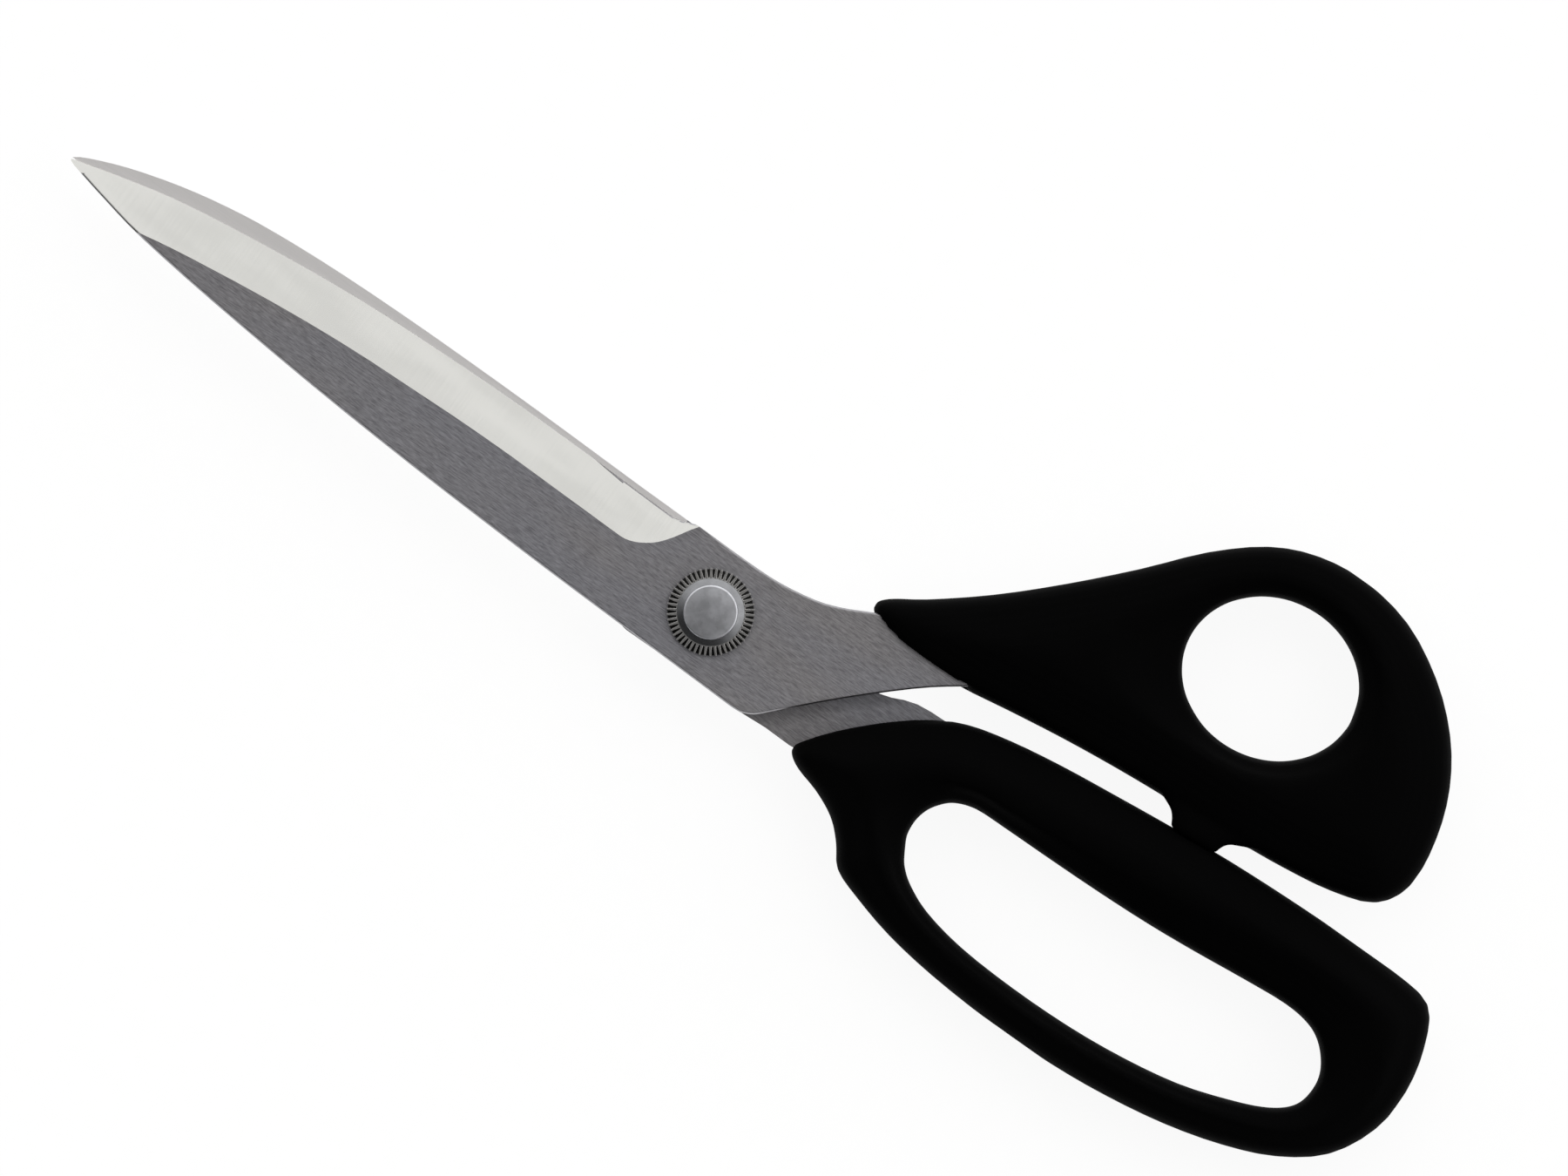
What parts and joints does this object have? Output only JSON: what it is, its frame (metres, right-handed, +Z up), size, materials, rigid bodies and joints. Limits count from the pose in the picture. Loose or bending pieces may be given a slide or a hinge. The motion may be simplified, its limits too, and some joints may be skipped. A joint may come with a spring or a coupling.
{
  "type": "fabric shears",
  "caption": "Bent-handle fabric shears with ground steel blades, an adjustable bolted pivot and soft-grip thumb and finger loops.",
  "frame": {"origin": "on the pivot axis, in the nut's flat outer face, which lies in the surface that the shears rest on", "axes": "+X from the pivot towards the handles, +Y towards the thumb loop, +Z up out of the resting surface, with the thumb half's blade on top"},
  "size_m": [0.2493, 0.088, 0.0139],
  "materials": {
    "brushed_blade": "brushed along the blade, with a polished bevel",
    "satin_blade": "satin",
    "soft_grip": "matte soft-touch",
    "hard_core": "moulded",
    "turned_steel": "turned and polished",
    "ring_steel": "satin",
    "bearing_brass": "plain"
  },
  "bodies": {
    "finger_half": {"rear_blade": "satin_blade", "finger_core": "hard_core", "finger_grip": "soft_grip", "bearing_washer": "bearing_brass"},
    "thumb_half": {"front_blade": "brushed_blade", "thumb_core": "hard_core", "thumb_grip": "soft_grip", "pivot_bolt": "turned_steel", "lock_ring": "ring_steel", "disc_spring": "ring_steel", "thrust_washer": "ring_steel"},
    "nut": {"pivot_nut": "turned_steel"}
  },
  "joints": [
    {"name": "blade_pivot", "type": "hinge", "parent": "finger_half", "child": "thumb_half", "pos_m": [0, 0, 0.00695], "axis": [0, 0, 1], "range_deg": [0, 115]},
    {"name": "nut_turn", "type": "hinge", "parent": "thumb_half", "child": "nut", "pos_m": [0, 0, 0], "axis": [0, 0, 1], "range_deg": [-90, 90]}
  ]
}
